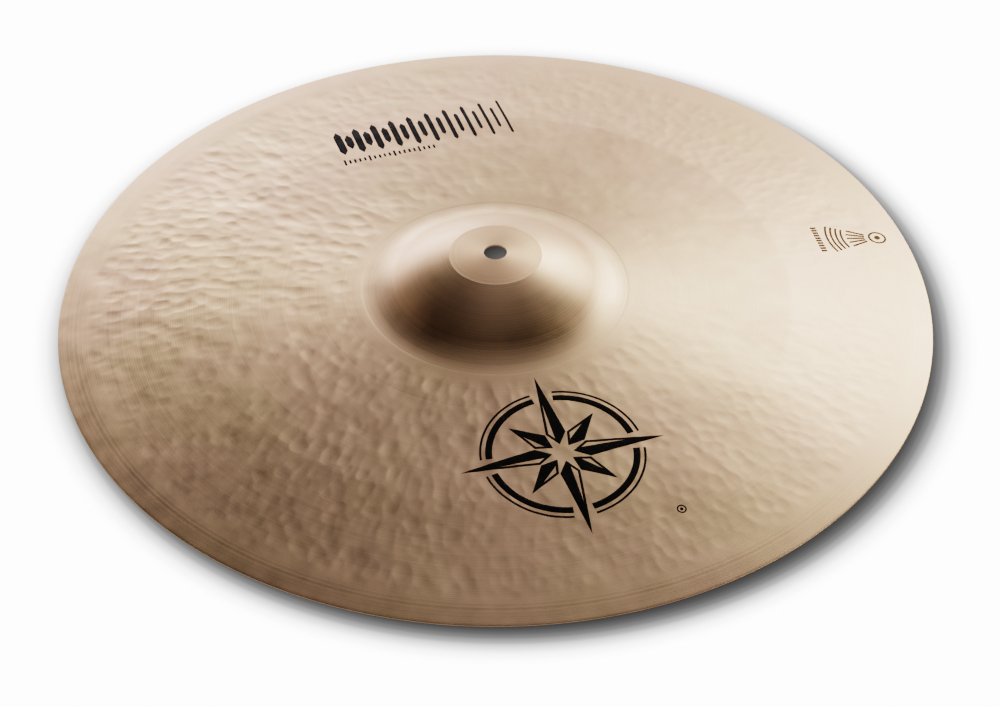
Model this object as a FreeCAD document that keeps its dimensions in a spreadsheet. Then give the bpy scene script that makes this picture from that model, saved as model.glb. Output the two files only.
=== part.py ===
"""Crash cymbal, 19 inch: one spun bronze disc, with two ink prints, a size scale and an etched stamp.

Lengths are millimetres and angles are degrees. The origin is on the cymbal's axis, in the plane that
its edge rests on. +Z points up through the bell. The emblem is towards -Y, the label towards +Y and
the stamp towards +X.
"""
import FreeCAD, Part
import math
import os

import Sketcher

Vector = FreeCAD.Vector

# Each row is a cell of the sheet: its alias, its value and what it means.
DIMENSIONS = [
    # The disc's upper surface is six arcs in a row. The lower surface is the same arcs, set in by the wall.
    ("bore_radius", 6.35, "centre hole, half of 1/2 inch"),
    ("hole_height", 49.6, "height of the hole's upper edge"),
    ("crown_edge", 25.5, "where the flat crown of the bell meets its shoulder, at a ridge"),
    ("shoulder_edge", 54.2, "where the shoulder runs into the hollow flank"),
    ("bell_edge", 72.0, "where the flank runs into the bow"),
    ("ridge_radius", 163.0, "ridge between the inner and the outer bow"),
    ("ridge_height", 15.7, "height of that ridge"),
    ("band_radius", 229.5, "where the outer bow meets the edge band"),
    ("band_height", 3.6, "height of that line"),
    ("rim_radius", 241.3, "half of 19 inches"),
    ("crown_bend", 147.0, "arc radius of the crown"),
    ("shoulder_bend", 81.9, "arc radius of the shoulder"),
    ("flank_bend", 31.1, "arc radius of the hollow flank"),
    ("inner_bend", 1465.0, "arc radius of the inner bow"),
    ("outer_bend", 6200.0, "arc radius of the outer bow"),
    ("band_bend", 1700.0, "arc radius of the edge band"),
    ("wall", 0.95, "thickness of the bronze"),
    # The marks are thin films that lie on the upper surface.
    ("film", 0.06, "thickness of ink or etched film"),
    ("cutter_height", 60.0, "height of the cutters that shape the films"),
    ("emblem_y", -134.0, "centre of the emblem"),
    ("star_long", 56.0, "long points of the emblem's star"),
    ("star_short", 33.0, "short points of the star"),
    ("star_waist", 15.0, "valleys between the points"),
    ("star_eye", 6.0, "open centre of the star"),
    ("star_line", 1.3, "line that frames the open half of a point"),
    ("band_inner", 37.5, "inside of the emblem's wide ring"),
    ("band_width", 3.6, "width of the wide ring"),
    ("thin_ring", 43.2, "inside of the emblem's thin ring"),
    ("thin_width", 1.1, "width of the thin ring"),
    ("band_gap", 8.0, "angle left open each side of a long point"),
    ("seal_x", 50.5, "small seal beside the emblem"),
    ("seal_y", -184.0, "small seal beside the emblem"),
    ("seal_radius", 2.6, "outside of the small seal"),
    ("label_x", -51.0, "left end of the label"),
    ("label_y", 157.0, "middle line of the label"),
    ("label_length", 102.0, "length of the label"),
    ("label_low", 13.0, "half height of its first bar"),
    ("label_high", 19.5, "half height of its last bar"),
    ("label_dip", 0.6, "share of that height that every second bar has"),
    ("bar_wide", 4.4, "width of its first bar"),
    ("bar_narrow", 1.4, "width of its last bar"),
    ("scale_x", -51.0, "left end of the size scale"),
    ("scale_y", 136.0, "middle line of the size scale"),
    ("scale_pitch", 2.9, "spacing of its ticks"),
    ("tick_width", 1.1, "width of a tick"),
    ("tick_short", 3.4, "length of a plain tick"),
    ("tick_long", 5.6, "length of every fifth tick"),
    ("stamp_y", 7.0, "middle line of the stamp"),
    ("stamp_bar_x", 190.0, "row of blocks at the stamp's inner end"),
    ("stamp_bar_length", 22.0, "length of that row"),
    ("block_width", 1.4, "width of a block"),
    ("block_depth", 3.2, "depth of a block"),
    ("ring_x", 225.0, "centre of the stamp's ring, and of the arcs and rays beside it"),
    ("ring_radius", 5.2, "outside of the stamp's ring"),
    ("etch_line", 1.1, "width of an etched line"),
    ("arc_radius", 29.0, "largest of the stamp's arcs"),
    ("arc_step", 2.9, "distance from one arc to the next"),
    ("ray_start", 7.6, "inner end of the stamp's rays"),
    ("ray_end", 18.0, "outer end of the stamp's rays"),
]

INCHES = 19
STAR_POINTS = 8
STAMP_BLOCKS = 10
STAMP_ARCS = 4
STAMP_RAYS = 5
FAN_HALF_ANGLE = 23.0
KITE_HALF_ANGLE = 21.0


def make_sheet(doc):
    """Put the driving dimensions in a spreadsheet."""
    sheet = doc.addObject("Spreadsheet::Sheet", "Sheet")
    for row, (alias, value, meaning) in enumerate(DIMENSIONS, start=1):
        sheet.set(f"A{row}", alias)
        sheet.set(f"B{row}", str(value))
        sheet.set(f"C{row}", meaning)
        sheet.setAlias(f"B{row}", alias)
    doc.recompute()
    return sheet


# ---- the bronze disc -------------------------------------------------------------------------------

START, END, CENTRE = 1, 2, 3
ORIGIN = (-1, 1)
VERTICAL_AXIS = -2
BENDS = ["crown_bend", "shoulder_bend", "flank_bend", "inner_bend", "outer_bend", "band_bend"]
CROWN, SHOULDER, FLANK, INNER_BOW, OUTER_BOW, BAND = range(6)
LOWER, RIM, HOLE = 6, 12, 13
# Rough heights, only to place the arcs before the sketch is solved.
CROWN_EDGE_GUESS, SHOULDER_EDGE_GUESS, BELL_EDGE_GUESS = 47.5, 32.1, 24.9


def arc_between(inner, outer, bend, hollow):
    """An arc of a given radius from a point to one further out, bending down, or up if it is hollow."""
    chord = outer - inner
    across = Vector(-chord.y, chord.x, 0).normalize()
    apothem = math.sqrt(bend**2 - (chord.Length / 2) ** 2)
    centre = (inner + outer) / 2 + across * (apothem if hollow else -apothem)
    first, last = (inner, outer) if hollow else (outer, inner)
    angles = [math.atan2(point.y - centre.y, point.x - centre.x) for point in (first, last)]
    return Part.ArcOfCircle(Part.Circle(centre, Vector(0, 0, 1), bend), *angles)


def surface_arcs(size, inset):
    """The six arcs of a surface, from the hole to the rim, set in below the upper surface."""
    points = [
        Vector(size.bore_radius, size.hole_height - inset, 0),
        Vector(size.crown_edge, CROWN_EDGE_GUESS - inset, 0),
        Vector(size.shoulder_edge, SHOULDER_EDGE_GUESS - inset, 0),
        Vector(size.bell_edge, BELL_EDGE_GUESS - inset, 0),
        Vector(size.ridge_radius, size.ridge_height - inset, 0),
        Vector(size.band_radius, size.band_height - inset, 0),
        Vector(size.rim_radius - size.wall / 2, size.wall - inset, 0),
    ]
    arcs = []
    for arc, alias in enumerate(BENDS):
        hollow = arc == FLANK
        bend = getattr(size, alias) + (inset if hollow else -inset)
        arcs.append(arc_between(points[arc], points[arc + 1], bend, hollow))
    return arcs


def inner_end(arc):
    """The end of an arc that is nearer to the axis. Arcs run anticlockwise."""
    return START if arc % LOWER == FLANK else END


def outer_end(arc):
    return END if arc % LOWER == FLANK else START


def bind(sketch, constraint, expression):
    """Add a driving constraint and bind its value to the sheet."""
    index = sketch.addConstraint(constraint)
    sketch.setExpression(f"Constraints[{index}]", expression)


def bind_place(sketch, direction, element, point, value, expression):
    """Hold a point at a distance from the axis (DistanceX) or at a height (DistanceY)."""
    bind(sketch, Sketcher.Constraint(direction, *ORIGIN, element, point, value), expression)


def join(sketch, kind, first_arc):
    """Join an arc to the next one out, with a Tangent or a Coincident constraint."""
    next_arc = first_arc + 1
    ends = (first_arc, outer_end(first_arc), next_arc, inner_end(next_arc))
    sketch.addConstraint(Sketcher.Constraint(kind, *ends))


def draw_upper_surface(sketch, size):
    """Size and join the arcs of the upper surface."""
    sketch.addConstraint(Sketcher.Constraint("PointOnObject", CROWN, CENTRE, VERTICAL_AXIS))
    for arc, alias in enumerate(BENDS):
        bind(sketch, Sketcher.Constraint("Radius", arc, getattr(size, alias)), f"Sheet.{alias}")
    join(sketch, "Coincident", CROWN)
    join(sketch, "Tangent", SHOULDER)
    join(sketch, "Tangent", FLANK)
    join(sketch, "Coincident", INNER_BOW)
    join(sketch, "Coincident", OUTER_BOW)
    edges = ["crown_edge", "shoulder_edge", "bell_edge", "ridge_radius", "band_radius"]
    for arc, alias in enumerate(edges):
        place = (arc, outer_end(arc), getattr(size, alias), f"Sheet.{alias}")
        bind_place(sketch, "DistanceX", *place)
    bind_place(sketch, "DistanceX", CROWN, END, size.bore_radius, "Sheet.bore_radius")
    bind_place(sketch, "DistanceY", CROWN, END, size.hole_height, "Sheet.hole_height")
    bind_place(sketch, "DistanceY", INNER_BOW, START, size.ridge_height, "Sheet.ridge_height")
    bind_place(sketch, "DistanceY", OUTER_BOW, START, size.band_height, "Sheet.band_height")


def draw_lower_surface(sketch, size):
    """Set the lower arcs in by the wall, about the same centres, and join them."""
    for arc, alias in enumerate(BENDS):
        lower = LOWER + arc
        sketch.addConstraint(Sketcher.Constraint("Coincident", arc, CENTRE, lower, CENTRE))
        sign = "+" if arc == FLANK else "-"
        bend = sketch.Geometry[lower].Radius
        bind(sketch, Sketcher.Constraint("Radius", lower, bend), f"Sheet.{alias} {sign} Sheet.wall")
    for arc in range(CROWN, BAND):
        join(sketch, "Coincident", LOWER + arc)
    bind_place(sketch, "DistanceX", LOWER, END, size.bore_radius, "Sheet.bore_radius")


def draw_disc_profile(sketch, size):
    """Half of the disc's cross-section: upper surface, lower surface, rounded rim and hole wall."""
    upper, lower = surface_arcs(size, 0.0), surface_arcs(size, size.wall)
    sketch.addGeometry(upper, False)
    sketch.addGeometry(lower, False)
    rim_centre = Vector(size.rim_radius - size.wall / 2, size.wall / 2, 0)
    rim_circle = Part.Circle(rim_centre, Vector(0, 0, 1), size.wall / 2)
    sketch.addGeometry(Part.ArcOfCircle(rim_circle, -math.pi / 2, math.pi / 2), False)
    sketch.addGeometry(Part.LineSegment(upper[CROWN].EndPoint, lower[CROWN].EndPoint), False)

    draw_upper_surface(sketch, size)
    draw_lower_surface(sketch, size)
    sketch.addConstraint(Sketcher.Constraint("Tangent", BAND, START, RIM, END))
    sketch.addConstraint(Sketcher.Constraint("Tangent", LOWER + BAND, START, RIM, START))
    bind_place(sketch, "DistanceX", RIM, CENTRE, rim_centre.x, "Sheet.rim_radius - Sheet.wall / 2")
    bind_place(sketch, "DistanceY", RIM, CENTRE, rim_centre.y, "Sheet.wall / 2")
    sketch.addConstraint(Sketcher.Constraint("Coincident", CROWN, END, HOLE, START))
    sketch.addConstraint(Sketcher.Constraint("Coincident", LOWER, END, HOLE, END))


def make_disc(doc, size):
    """The cymbal itself, spun from one sheet of cast bronze."""
    body = doc.addObject("PartDesign::Body", "Disc")
    body.Label = "bronze_disc"
    planes = {feature.Role: feature for feature in body.Origin.OriginFeatures}
    sketch = body.newObject("Sketcher::SketchObject", "DiscProfile")
    sketch.AttachmentSupport = (planes["XZ_Plane"], [""])
    sketch.MapMode = "FlatFace"
    draw_disc_profile(sketch, size)
    doc.recompute()
    disc = body.newObject("PartDesign::Revolution", "DiscRevolution")
    disc.Profile = sketch
    disc.ReferenceAxis = (sketch, ["V_Axis"])
    disc.Angle = 360.0
    doc.recompute()
    return body


# ---- outlines of the marks -------------------------------------------------------------------------


def polar(radius, angle, centre=Vector(0, 0, 0)):
    """A point at an angle and a radius from a centre."""
    turn = math.radians(angle)
    return centre + Vector(radius * math.cos(turn), radius * math.sin(turn), 0)


def polygon(points):
    """A closed outline of straight edges."""
    return [Part.LineSegment(points[i - 1], points[i]) for i in range(len(points))]


def circle(centre, radius):
    return [Part.Circle(centre, Vector(0, 0, 1), radius)]


def annulus(centre, outer, width):
    """A full ring."""
    return circle(centre, outer) + circle(centre, outer - width)


def ring_sector(centre, inner, width, start, end):
    """A stretch of ring between two angles."""
    outer = inner + width
    turn_1, turn_2 = math.radians(start), math.radians(end)
    return [
        Part.ArcOfCircle(Part.Circle(centre, Vector(0, 0, 1), inner), turn_1, turn_2),
        Part.ArcOfCircle(Part.Circle(centre, Vector(0, 0, 1), outer), turn_1, turn_2),
        Part.LineSegment(polar(inner, start, centre), polar(outer, start, centre)),
        Part.LineSegment(polar(inner, end, centre), polar(outer, end, centre)),
    ]


def block(centre, width, depth):
    """A rectangle about a centre."""
    across, along = Vector(width / 2, 0, 0), Vector(0, depth / 2, 0)
    corners = [centre - across - along, centre + across - along]
    corners += [centre + across + along, centre - across + along]
    return polygon(corners)


def ray(centre, angle, start, end, width):
    """A straight line that points at a centre."""
    half_width = polar(width / 2, angle + 90)
    inner, outer = polar(start, angle, centre), polar(end, angle, centre)
    return polygon([inner - half_width, outer - half_width, outer + half_width, inner + half_width])


def spindle(centre, width, half_height):
    """An upright bar with a point at each end."""
    across, up = Vector(width / 2, 0, 0), Vector(0, half_height, 0)
    shoulder = up - Vector(0, width, 0)
    left = [centre - up, centre - across - shoulder, centre - across + shoulder]
    right = [centre + up, centre + across + shoulder, centre + across - shoulder]
    return polygon(left + right)


def inset_triangle(corners, margin):
    """The triangle that lies a margin inside another one."""
    moved = []
    for i in range(3):
        corner = corners[i]
        to_last = (corners[i - 1] - corner).normalize()
        to_next = (corners[(i + 1) % 3] - corner).normalize()
        half_angle = to_last.getAngle(to_next) / 2
        moved.append(corner + (to_last + to_next).normalize() * (margin / math.sin(half_angle)))
    return moved


def star_point(size, centre, angle, length):
    """A point of the star: a kite that is solid on one side and framed on the other."""
    eye = polar(size.star_eye, angle, centre)
    tip = polar(length, angle, centre)
    right = polar(size.star_waist, angle - KITE_HALF_ANGLE, centre)
    left = polar(size.star_waist, angle + KITE_HALF_ANGLE, centre)
    window = inset_triangle([eye, tip, left], size.star_line)
    return polygon([eye, right, tip, left]) + polygon(window)


def emblem_outlines(size):
    """A compass star with a broken double ring, and a small seal beside it."""
    centre = Vector(0, size.emblem_y, 0)
    outlines = []
    for point in range(STAR_POINTS):
        length = size.star_long if point % 2 == 0 else size.star_short
        outlines += star_point(size, centre, point * 360 / STAR_POINTS, length)
    for quarter in range(4):
        start = quarter * 90 + size.band_gap
        end = (quarter + 1) * 90 - size.band_gap
        outlines += ring_sector(centre, size.band_inner, size.band_width, start, end)
        outlines += ring_sector(centre, size.thin_ring, size.thin_width, start, end)
    seal = Vector(size.seal_x, size.seal_y, 0)
    outlines += annulus(seal, size.seal_radius, size.seal_radius / 4)
    outlines += circle(seal, size.seal_radius / 3)
    return outlines


def label_outlines(size):
    """A row of spindles, one for each inch, that grow taller and thinner from left to right."""
    outlines = []
    pitch = (size.label_length - size.bar_wide) / (INCHES - 1)
    for bar in range(INCHES):
        share = bar / (INCHES - 1)
        width = size.bar_wide + (size.bar_narrow - size.bar_wide) * share
        half_height = size.label_low + (size.label_high - size.label_low) * share
        if bar % 2 == 1:
            half_height *= size.label_dip
        middle = Vector(size.label_x + size.bar_wide / 2 + bar * pitch, size.label_y, 0)
        outlines += spindle(middle, width, half_height)
    return outlines


def scale_outlines(size):
    """A row of small ticks, one for each inch, and every fifth one longer."""
    outlines = []
    for tick in range(INCHES):
        length = size.tick_long if tick % 5 == 0 else size.tick_short
        middle = Vector(size.scale_x + tick * size.scale_pitch, size.scale_y, 0)
        outlines += block(middle, size.tick_width, length)
    return outlines


def stamp_outlines(size):
    """A row of blocks, a fan of arcs and rays, and a ring with a dot, from the bell outwards."""
    outlines = []
    pitch = (size.stamp_bar_length - size.block_width) / (STAMP_BLOCKS - 1)
    for index in range(STAMP_BLOCKS):
        offset = (index - (STAMP_BLOCKS - 1) / 2) * pitch
        middle = Vector(size.stamp_bar_x, size.stamp_y + offset, 0)
        outlines += block(middle, size.block_depth, size.block_width)
    centre = Vector(size.ring_x, size.stamp_y, 0)
    start, end = 180 - FAN_HALF_ANGLE, 180 + FAN_HALF_ANGLE
    for index in range(STAMP_ARCS):
        inner = size.arc_radius - index * size.arc_step
        outlines += ring_sector(centre, inner, size.etch_line, start, end)
    for index in range(STAMP_RAYS):
        angle = start + (end - start) * index / (STAMP_RAYS - 1)
        outlines += ray(centre, angle, size.ray_start, size.ray_end, size.etch_line)
    outlines += annulus(centre, size.ring_radius, size.etch_line)
    outlines += circle(centre, size.ring_radius / 3)
    return outlines


def make_film(doc, name, label, outlines, disc, raised_disc):
    """A film on the upper surface: the raised disc inside the outlines, less the disc itself."""
    sketch = doc.addObject("Sketcher::SketchObject", name + "Outline")
    sketch.addGeometry(outlines, False)
    cutter = doc.addObject("Part::Extrusion", name + "Cutter")
    cutter.Base = sketch
    cutter.DirMode = "Custom"
    cutter.Dir = Vector(0, 0, 1)
    cutter.Solid = True
    cutter.FaceMakerClass = "Part::FaceMakerBullseye"
    cutter.setExpression("LengthFwd", "Sheet.cutter_height")
    slab = doc.addObject("Part::MultiCommon", name + "Slab")
    slab.Shapes = [raised_disc, cutter]
    film = doc.addObject("Part::Cut", name)
    film.Base = slab
    film.Tool = disc
    film.Label = label
    return film


def check_document(doc, nodes):
    """Stop if any object failed, or if a sub-part has no sound shape."""
    for item in doc.Objects:
        if "Invalid" in item.State or "Error" in item.State:
            raise RuntimeError(f"{item.Label} failed: {item.State}")
    for node in nodes:
        if node.Shape.isNull() or not node.Shape.isValid():
            raise RuntimeError(f"{node.Label} has no valid shape")


def main():
    doc = FreeCAD.newDocument("crash_cymbal")
    size = make_sheet(doc)
    disc = make_disc(doc, size)
    raised_disc = doc.addObject("Part::Compound", "RaisedDisc")
    raised_disc.Links = [disc]
    raised_disc.setExpression("Placement.Base.z", "Sheet.film")
    films = [
        ("Emblem", "emblem_print", emblem_outlines(size)),
        ("Label", "label_print", label_outlines(size)),
        ("Scale", "size_scale_print", scale_outlines(size)),
        ("Stamp", "etched_stamp", stamp_outlines(size)),
    ]
    nodes = [disc]
    for name, label, outlines in films:
        nodes.append(make_film(doc, name, label, outlines, disc, raised_disc))
    doc.recompute()
    check_document(doc, nodes)

    os.makedirs("parts", exist_ok=True)
    for node in nodes:
        node.Shape.exportStep(f"parts/{node.Label}.step")
        box = node.Shape.BoundBox
        solids = len(node.Shape.Solids)
        lower = f"{box.XMin:.2f} {box.YMin:.2f} {box.ZMin:.3f}"
        upper = f"{box.XMax:.2f} {box.YMax:.2f} {box.ZMax:.3f}"
        print(f"{node.Label}: {solids} solids, {node.Shape.Volume:.1f} mm3, {lower} to {upper}")


main()
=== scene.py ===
"""Crash cymbal: a hammered and lathed bronze disc with printed and etched marks, on a pale floor."""
import math

import bmesh
import bpy
import numpy as np
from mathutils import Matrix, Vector


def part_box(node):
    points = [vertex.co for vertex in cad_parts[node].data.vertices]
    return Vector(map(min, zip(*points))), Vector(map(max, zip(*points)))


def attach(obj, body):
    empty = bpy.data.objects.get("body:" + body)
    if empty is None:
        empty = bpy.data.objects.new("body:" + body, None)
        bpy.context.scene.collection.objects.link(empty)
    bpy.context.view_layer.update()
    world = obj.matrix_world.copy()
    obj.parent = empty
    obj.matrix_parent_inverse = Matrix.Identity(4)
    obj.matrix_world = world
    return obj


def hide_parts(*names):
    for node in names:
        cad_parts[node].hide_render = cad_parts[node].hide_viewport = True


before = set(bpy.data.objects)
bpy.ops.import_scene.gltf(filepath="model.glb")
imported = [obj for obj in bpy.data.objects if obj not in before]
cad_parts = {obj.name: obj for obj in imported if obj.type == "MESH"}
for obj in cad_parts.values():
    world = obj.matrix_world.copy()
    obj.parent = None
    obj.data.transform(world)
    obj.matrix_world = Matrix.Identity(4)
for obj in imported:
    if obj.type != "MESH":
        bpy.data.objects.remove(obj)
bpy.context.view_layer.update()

MM = 0.001
SEED = 1907

# ---------------------------------------------------------------------------------------------
# The disc's profile. Lengths are in metres. Heights come from the CAD disc.
# ---------------------------------------------------------------------------------------------
WALL = 0.95 * MM
HOLE_RADIUS = 6.35 * MM
CROWN_RADIUS = 25.5 * MM
BELL_MID_RADIUS = 54.2 * MM
BELL_RADIUS = 72.0 * MM
RIDGE_RADIUS = 163.0 * MM
BAND_RADIUS = 229.5 * MM
DISC_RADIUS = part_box("bronze_disc")[1].x
# Each arc: its outer radius and its bend radius. A negative bend radius is a hollow arc. The last arc runs
# to the rim's rounding.
ARCS = (
    (CROWN_RADIUS, 147 * MM),
    (BELL_MID_RADIUS, 81.9 * MM),
    (BELL_RADIUS, -31.1 * MM),
    (RIDGE_RADIUS, 1465 * MM),
    (BAND_RADIUS, 6200 * MM),
    (None, 1700 * MM),
)
# The rim is rounded from the upper side's slope there round to the underside.
RIM_ROUND = WALL / 2
RIM_SLOPE = math.radians(13.3)
RIM_STEPS = 7

# ---------------------------------------------------------------------------------------------
# The surface: rings of vertices, hammer marks, turned lines
# ---------------------------------------------------------------------------------------------
# Vertices in a ring: all of them beyond the first radius, then half, then a quarter.
SEGMENTS = 1440
SEGMENTS_FROM = ((150 * MM, SEGMENTS), (74 * MM, SEGMENTS // 2), (0.0, SEGMENTS // 4))
# Spacing of the rings on the upper side and on the underside.
RING_STEP = 1.3 * MM
UNDER_STEP = 2.6 * MM
# A ring this close to one of the turned lines' own rings is left out.
RING_GAP = 0.5 * MM
# One more ring lies this far outside the crown's edge, so that the lip is crisp.
CROWN_OUTSIDE = 0.6 * MM
# Turned lines: radius, half width, depth. The crown's edge is a small raised lip.
GROOVES = (
    (25.3 * MM, 0.40 * MM, -0.050 * MM),
    (31.0 * MM, 0.35 * MM, 0.010 * MM),
    (38.5 * MM, 0.35 * MM, 0.014 * MM),
    (46.0 * MM, 0.35 * MM, 0.010 * MM),
    (58.5 * MM, 0.35 * MM, 0.012 * MM),
    (66.5 * MM, 0.35 * MM, 0.016 * MM),
    (72.6 * MM, 0.45 * MM, 0.060 * MM),
    (98.5 * MM, 0.35 * MM, 0.012 * MM),
    (RIDGE_RADIUS, 0.50 * MM, 0.030 * MM),
    (181.0 * MM, 0.35 * MM, 0.012 * MM),
    (190.0 * MM, 0.35 * MM, 0.012 * MM),
    (BAND_RADIUS, 0.40 * MM, 0.040 * MM),
    (232.0 * MM, 0.40 * MM, 0.030 * MM),
)
# The lathe's uneven passes, as a typical height, and the radii where the turned lines fade out at the rim.
BELL_PASSES = 0.005 * MM
BOW_PASSES = 0.0015 * MM
LINES_FADE = (238 * MM, 240.5 * MM)
# The hammered zone, and its crisp marks: rows round the disc, spacing in a row, scatter, and the depth as a
# share of a mark's half width.
HAMMER_INNER = 77 * MM
HAMMER_OUTER = 226 * MM
ROW_STEP = 6.2 * MM
BLOW_STEP = 6.6 * MM
BLOW_SCATTER = 2.4 * MM
BLOW_DEPTH = 0.062
# The wide, shallow marks of the first hammering, and the sheet's long waves.
BROAD_BLOWS = 420
BROAD_DEPTH = 0.020
WAVES = 9
WAVE_HEIGHT = 0.035 * MM
# Outside and inside the ridge: the least hammering force, where the most is 1, and the turn where it is most.
OUTER_FORCE = (0.3, math.radians(135))
INNER_FORCE = (0.15, math.radians(180))


def cad_height(radius):
    """The height of the CAD disc's upper side on the circle of vertices at this radius."""
    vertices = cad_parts["bronze_disc"].data.vertices
    reach = 0.05 * MM
    return max(v.co.z for v in vertices if abs(v.co.xy.length - radius) < reach)


def arc_centre(inner, outer, bend):
    """The centre of the arc of this bend radius through two points (radius, height)."""
    dr = outer[0] - inner[0]
    dz = outer[1] - inner[1]
    chord = math.hypot(dr, dz)
    side = math.copysign(math.sqrt(bend * bend - chord * chord / 4), bend)
    middle = ((inner[0] + outer[0]) / 2, (inner[1] + outer[1]) / 2)
    return middle[0] + side * dz / chord, middle[1] - side * dr / chord


def profile_arcs():
    """Every arc of the upper side as (outer radius, bend radius, centre)."""
    band_outer = DISC_RADIUS - RIM_ROUND * (1 - math.sin(RIM_SLOPE))
    inner = (HOLE_RADIUS, cad_height(HOLE_RADIUS))
    found = []
    for radius, bend in ARCS:
        if radius is None:
            outer = (band_outer, RIM_ROUND * (1 + math.cos(RIM_SLOPE)))
        else:
            outer = (radius, cad_height(radius))
        found.append((outer[0], bend, arc_centre(inner, outer, bend)))
        inner = outer
    return found


PROFILE = profile_arcs()


def profile(radii):
    """Height and slope of the smooth upper side at an array of radii."""
    radii = np.asarray(radii, float)
    outers, bends, centres = (np.array(values) for values in zip(*PROFILE))
    just_inside = radii - 1e-9
    which = np.searchsorted(outers[:-1], just_inside)
    bend = bends[which]
    centre_r, centre_z = centres[which].T
    across = radii - centre_r
    rise = np.sign(bend) * np.sqrt(bend * bend - across * across)
    return centre_z + rise, -across / rise


def fade(values, start, end):
    """0 up to start, 1 from end on, and a smooth step between."""
    share = np.clip((np.asarray(values, float) - start) / (end - start), 0, 1)
    return share * share * (3 - 2 * share)


def ring_radii(step):
    """Radii from the hole to the rim's rounding, with more rings at the crown's edge and the turned lines."""
    stops = [HOLE_RADIUS, *(outer for outer, bend, centre in PROFILE)]
    evenly = set()
    for inner, outer in zip(stops, stops[1:]):
        count = math.ceil((outer - inner) / step)
        evenly.update(np.linspace(inner, outer, count + 1))
    extra = {CROWN_RADIUS + CROWN_OUTSIDE}
    for radius, half_width, depth in GROOVES:
        extra.update((radius - half_width, radius, radius + half_width))
    kept = [r for r in evenly if r in stops or all(abs(r - e) > RING_GAP for e in extra)]
    return np.array(sorted({round(r, 9) for r in [*kept, *extra]}))


def turned_lines(radii, rng):
    """The lathe's uneven passes and its grooves, as a height for each ring."""
    size = np.where(radii < BELL_RADIUS, BELL_PASSES, BOW_PASSES)
    heights = rng.normal(0, 1, len(radii)).clip(-2, 2) * size
    for radius, half_width, depth in GROOVES:
        heights -= depth * np.clip(1 - abs(radii - radius) / half_width, 0, 1)
    return heights * fade(radii, HOLE_RADIUS, HOLE_RADIUS + 2 * MM) * (1 - fade(radii, *LINES_FADE))


def hammer_force(radius, angle):
    """How hard the disc was hammered there: harder on one side, and in the outer zone."""
    least, turn = OUTER_FORCE if radius > RIDGE_RADIUS else INNER_FORCE
    side = 0.5 + 0.5 * math.cos(angle - turn)
    return least + (1 - least) * side


def hammer_blows(rng):
    """Hammer marks as (radius, angle, half length along the radius, half width, depth)."""
    blows = []
    row = HAMMER_INNER + 2 * MM
    while row < HAMMER_OUTER - 3 * MM:
        count = int(2 * math.pi * row / BLOW_STEP)
        turn = rng.uniform(0, 2 * math.pi)
        for k in range(count):
            radius = row + rng.normal(0, BLOW_SCATTER)
            angle = turn + 2 * math.pi * (k + rng.uniform(-0.45, 0.45)) / count
            length = rng.uniform(4.0, 7.5) * MM
            width = rng.uniform(3.0, 5.6) * MM
            depth = rng.uniform(0.1, 1.0) * BLOW_DEPTH * width * hammer_force(radius, angle)
            blows.append((radius, angle, length, width, depth))
        row += ROW_STEP
    return blows


def broad_blows(rng):
    """The wide, shallow marks, in the same terms."""
    blows = []
    for k in range(BROAD_BLOWS):
        radius = math.sqrt(rng.uniform(HAMMER_INNER ** 2, HAMMER_OUTER ** 2))
        angle = rng.uniform(0, 2 * math.pi)
        length = rng.uniform(9, 17) * MM
        width = length * rng.uniform(0.6, 0.9)
        depth = rng.uniform(0.3, 1.0) * BROAD_DEPTH * width * hammer_force(radius, angle)
        blows.append((radius, angle, length, width, depth))
    return blows


def press(field, radii, angles, blow, crisp):
    """One mark pressed into the field. A crisp mark leaves a crease where it meets its neighbours."""
    radius, angle, length, width, depth = blow
    first, last = np.searchsorted(radii, (radius - length, radius + length))
    if last <= first:
        return
    reach = int(math.ceil(width / radius / (2 * math.pi) * SEGMENTS)) + 1
    middle = int(round(angle / (2 * math.pi) * SEGMENTS))
    columns = np.arange(middle - reach, middle + reach + 1) % SEGMENTS
    turn = angles[columns][None, :] - angle
    ring = radii[first:last, None]
    along = (ring * np.cos(turn) - radius) / length
    across = ring * np.sin(turn) / width
    bowl = np.clip(1 - along * along - across * across, 0, None)
    if crisp:
        field[first:last, columns] = np.minimum(field[first:last, columns], -depth * bowl)
    else:
        field[first:last, columns] -= depth * bowl ** 2


def hammered(radii, rng):
    """The hammered surface's height over the smooth profile, one row for each ring."""
    angles = 2 * math.pi * np.arange(SEGMENTS) / SEGMENTS
    field = np.zeros((len(radii), SEGMENTS))
    for blow in hammer_blows(rng):
        press(field, radii, angles, blow, crisp=True)
    for blow in broad_blows(rng):
        press(field, radii, angles, blow, crisp=False)
    field -= field[(radii > HAMMER_INNER) & (radii < HAMMER_OUTER)].mean()
    x = radii[:, None] * np.cos(angles)[None, :]
    y = radii[:, None] * np.sin(angles)[None, :]
    for k in range(WAVES):
        way = rng.uniform(0, 2 * math.pi)
        wave = 2 * math.pi / (rng.uniform(55, 140) * MM)
        phase = rng.uniform(0, 2 * math.pi)
        field += WAVE_HEIGHT * np.cos(wave * (x * math.cos(way) + y * math.sin(way)) + phase)
    window = fade(radii, HAMMER_INNER - 2 * MM, HAMMER_INNER + 9 * MM)
    window *= 1 - fade(radii, HAMMER_OUTER - 8 * MM, HAMMER_OUTER + 3 * MM)
    return field * window[:, None]


rng = np.random.default_rng(SEED)
RADII = ring_radii(RING_STEP)
RELIEF = turned_lines(RADII, rng)[:, None] + hammered(RADII, rng)


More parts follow.
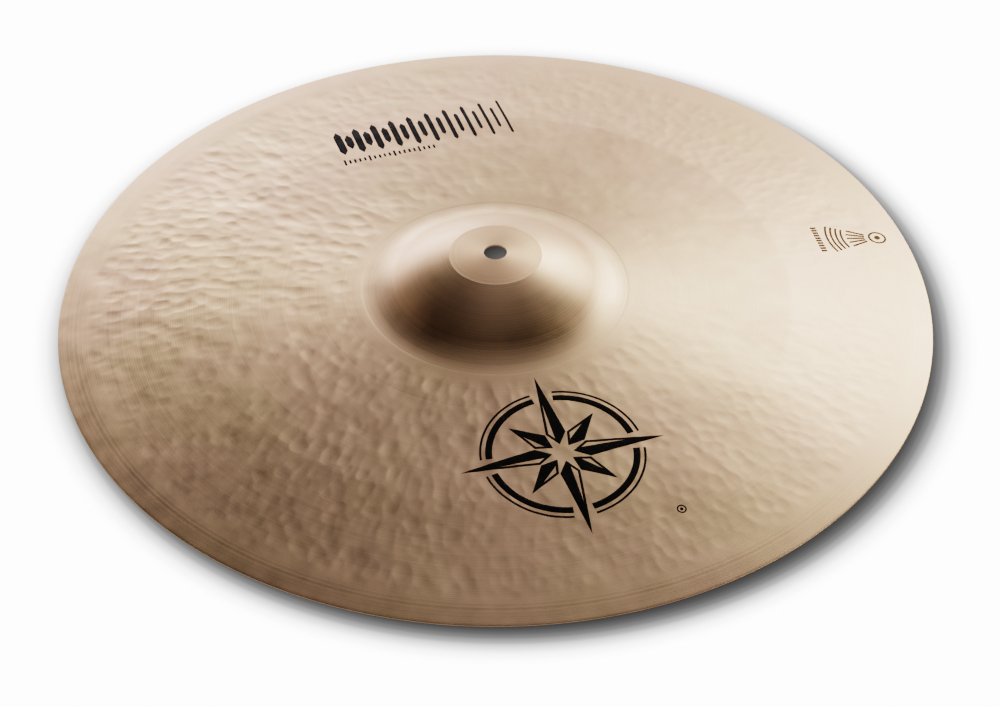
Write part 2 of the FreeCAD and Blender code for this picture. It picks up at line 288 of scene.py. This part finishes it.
def relief_on_ring(radius):
    """The relief round one circle, between the two nearest rings."""
    upper = int(np.clip(np.searchsorted(RADII, radius), 1, len(RADII) - 1))
    share = np.clip((radius - RADII[upper - 1]) / (RADII[upper] - RADII[upper - 1]), 0, 1)
    return RELIEF[upper - 1] * (1 - share) + RELIEF[upper] * share


def surface_height(x, y):
    """The height of the hammered upper side at one point."""
    radius = math.hypot(x, y)
    place = (math.atan2(y, x) / (2 * math.pi) * SEGMENTS) % SEGMENTS
    before = int(place)
    share = place - before
    ring = relief_on_ring(radius)
    relief = ring[before % SEGMENTS] * (1 - share) + ring[(before + 1) % SEGMENTS] * share
    return float(profile([radius])[0][0]) + relief


class Skin:
    """A closed turned surface, made ring by ring."""

    def __init__(self):
        self.vertices = []
        self.faces = []
        self.rings = []

    def ring(self, radius, heights, segments):
        """A ring of vertices at this radius, joined to the ring before it."""
        first = len(self.vertices)
        heights = np.broadcast_to(heights, (segments,))
        for k in range(segments):
            angle = 2 * math.pi * k / segments
            self.vertices.append((radius * math.cos(angle), radius * math.sin(angle), float(heights[k])))
        self.rings.append((first, segments))
        if len(self.rings) > 1:
            self.bridge(self.rings[-2], self.rings[-1])

    def bridge(self, ring_a, ring_b):
        """Faces between two rings. One may have twice as many vertices as the other."""
        first_a, count_a = ring_a
        first_b, count_b = ring_b
        for i in range(min(count_a, count_b)):
            if count_a == count_b:
                j = (i + 1) % count_a
                self.faces.append((first_a + i, first_b + i, first_b + j, first_a + j))
            elif count_b > count_a:
                here, after = first_a + i, first_a + (i + 1) % count_a
                low, middle, high = (first_b + (2 * i + k) % count_b for k in range(3))
                self.faces += [(here, low, middle), (here, middle, after), (after, middle, high)]
            else:
                here, after = first_b + i, first_b + (i + 1) % count_b
                low, middle, high = (first_a + (2 * i + k) % count_a for k in range(3))
                self.faces += [(low, here, middle), (middle, here, after), (middle, after, high)]

    def close(self):
        """Faces from the last ring back to the first."""
        self.bridge(self.rings[-1], self.rings[0])

    def mesh(self, name):
        mesh = bpy.data.meshes.new(name)
        mesh.from_pydata(self.vertices, [], self.faces)
        mesh.update()
        return mesh


def segments_at(radius):
    """How many vertices a ring has, so that neighbours are no more than 1.3 mm apart."""
    return next(segments for start, segments in SEGMENTS_FROM if radius > start)


def add_piece(name, mesh, material, sharp_angle):
    """A smooth-shaded piece of the cymbal that rides on the root body."""
    mesh.shade_smooth()
    mesh.set_sharp_from_angle(angle=math.radians(sharp_angle))
    mesh.materials.append(material)
    piece = bpy.data.objects.new(name, mesh)
    bpy.context.scene.collection.objects.link(piece)
    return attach(piece, "root")


def add_rim(skin):
    """The rim's rounding, from the upper side round to the underside."""
    top = math.pi / 2 - RIM_SLOPE
    for step in range(1, RIM_STEPS):
        angle = top - math.pi * step / RIM_STEPS
        radius = DISC_RADIUS - RIM_ROUND + RIM_ROUND * math.cos(angle)
        skin.ring(radius, RIM_ROUND * (1 + math.sin(angle)), SEGMENTS)


def add_underside(skin):
    """The underside, from the rim inwards: the hammered upper side moved in by the wall, square to it.

    Where two arcs meet, it goes by the mean of their slopes.
    """
    beside = 1e-6
    for radius in ring_radii(UNDER_STEP)[:0:-1]:
        segments = segments_at(radius)
        height, slope = profile([radius - beside, radius + beside])
        slope = float(slope.mean())
        drop = WALL / math.hypot(1, slope)
        relief = relief_on_ring(radius)[:: SEGMENTS // segments]
        skin.ring(radius + slope * drop, float(height.mean()) - drop + relief, segments)


def build_disc(material, crown_material):
    """The whole bronze disc: upper side, rim, underside and hole wall. The crown has a duller finish."""
    skin = Skin()
    heights, slopes = profile(RADII)
    for radius, height, relief in zip(RADII, heights, RELIEF):
        segments = segments_at(radius)
        skin.ring(radius, height + relief[:: SEGMENTS // segments], segments)
    add_rim(skin)
    add_underside(skin)
    hole_wall = WALL * math.hypot(1, slopes[0])
    skin.ring(HOLE_RADIUS, heights[0] - hole_wall, segments_at(HOLE_RADIUS))
    skin.close()
    mesh = skin.mesh("hammered_disc")
    disc = add_piece("hammered_disc", mesh, material, sharp_angle=35)
    mesh.materials.append(crown_material)
    for face in mesh.polygons:
        if face.center.xy.length < CROWN_RADIUS and face.normal.z > 0.5:
            face.material_index = 1
    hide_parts("bronze_disc")


# A film stands this far above the hammered surface and reaches this far below it. Its edges are split until
# they are no longer than this, so that it follows the surface.
FILM_LIFT = 0.06 * MM
FILM_SINK = 0.02 * MM
FILM_EDGE = 1.4 * MM
FILM_SPLITS = 8
FILM_WELD = 0.002 * MM


def build_film(node, name, material):
    """A printed or etched mark: the CAD film's outline, laid on the hammered surface."""
    work = bmesh.new()
    work.from_mesh(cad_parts[node].data)
    bmesh.ops.remove_doubles(work, verts=work.verts, dist=FILM_WELD)
    layer = work.verts.layers.float.new("upper")
    for vertex in work.verts:
        smooth = float(profile([math.hypot(vertex.co.x, vertex.co.y)])[0][0])
        vertex[layer] = float(vertex.co.z - smooth > FILM_LIFT / 2)
    for step in range(FILM_SPLITS):
        long_edges = [edge for edge in work.edges if edge.calc_length() > FILM_EDGE]
        if not long_edges:
            break
        bmesh.ops.subdivide_edges(work, edges=long_edges, cuts=1)
        bmesh.ops.triangulate(work, faces=[face for face in work.faces if len(face.verts) > 3])
    for vertex in work.verts:
        lift = -FILM_SINK + vertex[layer] * (FILM_LIFT + FILM_SINK)
        vertex.co.z = surface_height(vertex.co.x, vertex.co.y) + lift
    mesh = bpy.data.meshes.new(name)
    work.to_mesh(mesh)
    work.free()
    piece = add_piece(name, mesh, material, sharp_angle=50)
    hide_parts(node)


# The camera's right, as a turn from the object's +X.
CAMERA_TURN = math.radians(-15.5)


def towards(turn, height):
    """A unit vector away from the object, by its turn and height in degrees.

    Turn 0 is the camera's right, 90 is behind the object and 270 is the camera's side.
    """
    angle = math.radians(turn) + CAMERA_TURN
    up = math.radians(height)
    return Vector((math.cos(angle) * math.cos(up), math.sin(angle) * math.cos(up), math.sin(up)))


# ---------------------------------------------------------------------------------------------
# Materials
# ---------------------------------------------------------------------------------------------
class Nodes:
    """Short ways to add nodes to a tree. A value may be a number, a tuple or another node's output."""

    def __init__(self, owner):
        owner.use_nodes = True
        self.tree = owner.node_tree
        self.tree.nodes.clear()

    def set(self, socket, value):
        if isinstance(value, bpy.types.NodeSocket):
            self.tree.links.new(value, socket)
        elif value is not None:
            socket.default_value = value

    def add(self, kind, inputs=None, **settings):
        node = self.tree.nodes.new("ShaderNode" + kind)
        for key, value in settings.items():
            setattr(node, key, value)
        for key, value in (inputs or {}).items():
            self.set(node.inputs[key], value)
        return node

    def math(self, operation, a, b=None):
        node = self.add("Math", operation=operation)
        self.set(node.inputs[0], a)
        self.set(node.inputs[1], b)
        return node.outputs[0]

    def vector(self, operation, a, b=None, output=0):
        node = self.add("VectorMath", operation=operation)
        self.set(node.inputs[0], a)
        self.set(node.inputs[1], b)
        return node.outputs[output]

    def span(self, value, low, high, to_low=0.0, to_high=1.0):
        """The value's place from low to high, as a number from to_low to to_high."""
        node = self.add("MapRange", {"Value": value, "From Min": low, "From Max": high,
                                     "To Min": to_low, "To Max": to_high})
        return node.outputs[0]

    def mix(self, factor, a, b, blend="MIX"):
        node = self.add("Mix", data_type="RGBA", blend_type=blend)
        self.set(node.inputs[0], factor)
        self.set(node.inputs[6], a)
        self.set(node.inputs[7], b)
        return node.outputs[2]

    def noise(self, scale, detail, vector=None, value=None, roughness=0.5):
        """Noise at a point in space, or along a line if it gets a value."""
        node = self.add("TexNoise", {"Scale": scale, "Detail": detail, "Roughness": roughness},
                        noise_dimensions="3D" if value is None else "1D")
        if value is None:
            self.set(node.inputs["Vector"], vector)
        else:
            self.set(node.inputs["W"], value)
        return node.outputs["Fac"]


def place_and_radius(n):
    """The point on the object, and its distance from the disc's axis, in metres."""
    place = n.add("TexCoord").outputs["Object"]
    flat = n.vector("MULTIPLY", place, (1.0, 1.0, 0.0))
    return place, n.vector("LENGTH", flat, output="Value")


LATHE_PITCH = 1.3 * MM
# Scales of the noise patterns, in features per metre.
BROAD_SCALE = 13.0
PATCH_SCALE = 85.0
PASS_SCALE = 620.0
UNEVEN_SCALE = 340.0
FINE_SCALE = 1100.0
SPECK_SCALE = 900.0
RUBBED_SCALE = 120.0
BURN_SCALE = 700.0
# The bronze drifts between two tones, with redder patches.
BRONZE_ROSE = (0.80, 0.552, 0.396, 1)
BRONZE_GOLD = (0.79, 0.570, 0.380, 1)
BRONZE_RED = (0.77, 0.530, 0.376, 1)
INK_BLACK = (0.010, 0.0075, 0.006, 1)
WORN_INK = (0.30, 0.21, 0.13, 1)
ETCHED_DARK = (0.10, 0.05, 0.018, 1)
ETCHED_BROWN = (0.22, 0.12, 0.05, 1)
# The height of each material's bumps.
LATHE_BUMP = 0.006 * MM
INK_BUMP = 0.004 * MM
ETCHED_BUMP = 0.01 * MM


def lathe_wave(n, radius):
    """Fine turned grooves, from -1 to 1 across one pitch."""
    return n.math("SINE", n.math("MULTIPLY", radius, 2 * math.pi / LATHE_PITCH))


def lathe_height(n, radius):
    """The turned grooves' height, with passes of uneven depth."""
    uneven = n.noise(UNEVEN_SCALE, 2.0, value=radius)
    fine = n.noise(FINE_SCALE, 2.0, value=radius)
    grooves = n.math("MULTIPLY", lathe_wave(n, radius), n.span(uneven, 0.35, 0.65, 0.1, 0.6))
    return n.math("ADD", grooves, n.math("MULTIPLY", fine, 1.2))


def grey(n, value):
    """A colour of this value in all three channels."""
    return n.add("CombineColor", {0: value, 1: value, 2: value}).outputs[0]


def bronze_material(name, roughness, anisotropic):
    """Lathed bronze: its reflections spread along the radius, because the fine grooves run round the axis."""
    material = bpy.data.materials.new(name)
    n = Nodes(material)
    place, radius = place_and_radius(n)
    broad = n.noise(BROAD_SCALE, 3.0, vector=place)
    patches = n.noise(PATCH_SCALE, 3.0, vector=place)
    passes = n.noise(PASS_SCALE, 3.0, value=radius, roughness=0.7)
    colour = n.mix(n.span(broad, 0.38, 0.62), BRONZE_ROSE, BRONZE_GOLD)
    colour = n.mix(n.span(patches, 0.35, 0.7, 0.0, 0.4), colour, BRONZE_RED)
    # The turned grooves are also painted into the colour as faint light and dark stripes: painted shade,
    # darker in the grooves and lighter on their crests.
    lines = n.math("MULTIPLY", lathe_wave(n, radius), n.span(broad, 0.35, 0.65, 0.02, 0.05))
    shade = n.math("ADD", n.span(passes, 0.25, 0.75, 0.94, 1.03), lines)
    outer = n.span(radius, RIDGE_RADIUS - 0.5 * MM, RIDGE_RADIUS + 1.5 * MM)
    mottle = n.math("MULTIPLY", n.math("SUBTRACT", patches, 0.5), n.span(outer, 0.0, 1.0, 0.12, 0.42))
    shade = n.math("MULTIPLY", n.math("ADD", shade, mottle), n.span(outer, 0.0, 1.0, 0.965, 1.0))
    colour = n.mix(1.0, colour, grey(n, shade), "MULTIPLY")
    uneven = n.math("ADD", n.span(passes, 0.3, 0.7, -0.015, 0.015), n.span(patches, 0.3, 0.7, -0.02, 0.04))
    bump = n.add("Bump", {"Strength": 1.0, "Distance": LATHE_BUMP, "Height": lathe_height(n, radius)})
    tangent = n.add("Tangent", direction_type="RADIAL", axis="Z")
    shader = n.add("BsdfPrincipled", {
        "Base Color": colour, "Metallic": 1.0, "Roughness": n.math("ADD", uneven, roughness),
        "Anisotropic": anisotropic, "Anisotropic Rotation": 0.25,
        "Normal": bump.outputs[0], "Tangent": tangent.outputs[0]})
    n.add("OutputMaterial", {"Surface": shader.outputs[0]})
    return material


def ink_material():
    """Black ink, worn through to the bronze in specks."""
    material = bpy.data.materials.new("black_ink")
    n = Nodes(material)
    place, radius = place_and_radius(n)
    specks = n.noise(SPECK_SCALE, 3.0, vector=place)
    rubbed = n.noise(RUBBED_SCALE, 2.0, vector=place)
    wear = n.math("MULTIPLY", n.span(specks, 0.60, 0.72), n.span(rubbed, 0.45, 0.7))
    colour = n.mix(wear, INK_BLACK, WORN_INK)
    bump = n.add("Bump", {"Strength": 1.0, "Distance": INK_BUMP, "Height": lathe_height(n, radius)})
    shader = n.add("BsdfPrincipled", {
        "Base Color": colour, "Roughness": n.span(rubbed, 0.3, 0.7, 0.42, 0.56),
        "Specular IOR Level": 0.1, "Normal": bump.outputs[0]})
    n.add("OutputMaterial", {"Surface": shader.outputs[0]})
    return material


def etched_material():
    """Bronze burnt brown by the stamp."""
    material = bpy.data.materials.new("etched_bronze")
    n = Nodes(material)
    place, radius = place_and_radius(n)
    burn = n.noise(BURN_SCALE, 3.0, vector=place)
    colour = n.mix(n.span(burn, 0.35, 0.65), ETCHED_DARK, ETCHED_BROWN)
    bump = n.add("Bump", {"Strength": 1.0, "Distance": ETCHED_BUMP, "Height": burn})
    shader = n.add("BsdfPrincipled", {
        "Base Color": colour, "Metallic": 0.4, "Roughness": n.span(burn, 0.3, 0.7, 0.5, 0.65),
        "Normal": bump.outputs[0]})
    n.add("OutputMaterial", {"Surface": shader.outputs[0]})
    return material


# The soft shadow painted on the floor: how far it is shifted to the camera's lower right, and half its edge's
# width.
SHADOW_SHIFT = 10 * MM
SHADOW_TURN = 300
SHADOW_SPREAD = 20 * MM
# The floor's brightness away from the painted shadow, as the bronze sees it, and across the painted shadow's
# edge.
FLOOR_WHITE = 7.0
FLOOR_BOUNCE = 0.4
FLOOR_TONES = (
    (0.0, 0.055), (0.25, 0.065), (0.35, 0.10), (0.42, 0.15), (0.5, 0.25),
    (0.6, 0.53), (0.75, 1.55), (0.875, 3.5), (1.0, FLOOR_WHITE),
)
# A small pool of light painted on the floor under the centre hole, as if light fell through it: its middle,
# its radii and its brightness.
HOLE_SPILL = towards(83, 0) * (50 * MM)
SPILL_INNER = 2 * MM
SPILL_OUTER = 16 * MM
SPILL_TONE = 0.09


def floor_material():
    """A pale floor that glows evenly, with the disc's soft shadow and a small pool of light under the centre
    hole painted on it.

    The ramp holds the cube root of each tone, so that its steps are even to the eye.
    """
    material = bpy.data.materials.new("pale_floor")
    n = Nodes(material)
    place = n.add("TexCoord").outputs["Object"]
    shift = towards(SHADOW_TURN, 0) * SHADOW_SHIFT
    from_shadow = n.vector("LENGTH", n.vector("SUBTRACT", place, tuple(shift)), output="Value")
    across = n.span(from_shadow, DISC_RADIUS - SHADOW_SPREAD, DISC_RADIUS + SHADOW_SPREAD)
    ramp = n.add("ValToRGB", {"Fac": across})
    ramp.color_ramp.interpolation = "CARDINAL"
    while len(ramp.color_ramp.elements) < len(FLOOR_TONES):
        ramp.color_ramp.elements.new(0.5)
    for element, (position, tone) in zip(ramp.color_ramp.elements, FLOOR_TONES):
        share = (tone / FLOOR_WHITE) ** (1 / 3)
        element.position = position
        element.color = (share, share, share, 1)
    cloud = n.span(n.noise(2.0, 2.0, vector=place), 0.3, 0.7, 0.98, 1.0)
    white = n.math("MULTIPLY", n.math("POWER", ramp.outputs["Color"], 3.0), FLOOR_WHITE)
    # The painted pool of light under the centre hole.
    from_spill = n.vector("LENGTH", n.vector("SUBTRACT", place, tuple(HOLE_SPILL)), output="Value")
    white = n.math("ADD", white, n.span(from_spill, SPILL_INNER, SPILL_OUTER, SPILL_TONE, 0.0))
    seen = n.add("LightPath").outputs["Is Camera Ray"]
    glow = n.add("Mix", {0: seen, 2: FLOOR_BOUNCE, 3: white}, data_type="FLOAT").outputs[0]
    shader = n.add("BsdfPrincipled", {
        "Base Color": (0.05, 0.05, 0.05, 1.0), "Roughness": 0.9, "Specular IOR Level": 0.0,
        "Emission Color": (1.0, 1.0, 1.0, 1.0), "Emission Strength": n.math("MULTIPLY", glow, cloud)})
    n.add("OutputMaterial", {"Surface": shader.outputs[0]})
    return material


lathed = bronze_material("lathed_bronze", roughness=0.37, anisotropic=0.85)
crown = bronze_material("crown_bronze", roughness=0.52, anisotropic=0.55)
build_disc(lathed, crown)
ink = ink_material()
build_film("emblem_print", "printed_emblem", ink)
build_film("label_print", "printed_label", ink)
build_film("size_scale_print", "printed_size_scale", ink)
build_film("etched_stamp", "etched_maker_stamp", etched_material())

# ---------------------------------------------------------------------------------------------
# Stage: floor, lights and camera
# ---------------------------------------------------------------------------------------------
FLOOR_RADIUS = 6.0
# The camera's height is in degrees above the floor, and its lens and sensor are in millimetres.
CAMERA_HEIGHT = 41.03
CAMERA_DISTANCE = 2.5
CAMERA_TARGET = Vector((-4.9 * MM, -27.1 * MM, 0.0))
CAMERA_LENS = 164.1
SENSOR_WIDTH = 36.0

floor_mesh = bpy.data.meshes.new("floor")
work = bmesh.new()
bmesh.ops.create_circle(work, cap_ends=True, segments=96, radius=FLOOR_RADIUS)
work.to_mesh(floor_mesh)
work.free()
floor = bpy.data.objects.new("floor", floor_mesh)
floor_mesh.materials.append(floor_material())
bpy.context.scene.collection.objects.link(floor)

# The studio's soft lights, as turn, height, sharpness, strength and colour. Under them lie a low warm band of
# light all round, as its strength and the height where it fades, and a faint light from everywhere.
PLAIN = (1.0, 1.0, 1.0, 1)
COOL = (1.0, 0.985, 1.10, 1)
WARM = (1.0, 0.97, 0.90, 1)
LIGHTS = (
    (60, 30, 20, 4.2, PLAIN),
    (105, -5, 15, 5.4, COOL),
    (-15, -5, 15, 1.7, WARM),
    (155, 20, 15, 0.15, WARM),
    (80, 50, 15, 0.15, PLAIN),
    (180, 90, 15, 0.22, PLAIN),
)
BAND_LIGHT = 0.6
BAND_HEIGHT = 0.20
SURROUND = 0.005
SURROUND_COLOUR = (1.0, 0.82, 0.58, 1)


def studio_world():
    """The light that the bronze reflects. The camera sees plain white instead."""
    world = bpy.data.worlds.new("studio")
    n = Nodes(world)
    way = n.add("TexCoord").outputs["Generated"]
    rise = n.add("SeparateXYZ", {0: way}).outputs["Z"]
    fall = n.math("POWER", n.math("DIVIDE", rise, BAND_HEIGHT), 2.0)
    band = n.math("EXPONENT", n.math("MULTIPLY", fall, -1.0))
    low = n.math("ADD", n.math("MULTIPLY", band, BAND_LIGHT), SURROUND)
    lit = n.add("Background", {"Color": SURROUND_COLOUR, "Strength": low})
    for turn, height, sharpness, strength, colour in LIGHTS:
        near = n.vector("DOT_PRODUCT", way, tuple(towards(turn, height)), output="Value")
        lobe = n.math("EXPONENT", n.math("MULTIPLY", n.math("SUBTRACT", near, 1.0), sharpness))
        light = n.add("Background", {"Color": colour, "Strength": n.math("MULTIPLY", lobe, strength)})
        lit = n.add("AddShader", {0: lit.outputs[0], 1: light.outputs[0]})
    backdrop = n.add("Background", {"Color": (1, 1, 1, 1), "Strength": FLOOR_WHITE})
    seen = n.add("LightPath").outputs["Is Camera Ray"]
    both = n.add("MixShader", {0: seen, 1: lit.outputs[0], 2: backdrop.outputs[0]})
    n.add("OutputWorld", {"Surface": both.outputs[0]})
    return world


bpy.context.scene.world = studio_world()

camera = bpy.data.objects.new("camera", bpy.data.cameras.new("camera"))
back = towards(270, CAMERA_HEIGHT)
camera.location = CAMERA_TARGET + back * CAMERA_DISTANCE
camera.rotation_mode = "QUATERNION"
camera.rotation_quaternion = back.to_track_quat("Z", "Y")
camera.data.lens = CAMERA_LENS
camera.data.sensor_width = SENSOR_WIDTH
bpy.context.scene.collection.objects.link(camera)
bpy.context.scene.camera = camera

bpy.context.scene.view_settings.view_transform = "Filmic"
bpy.context.scene.view_settings.look = "Very High Contrast"
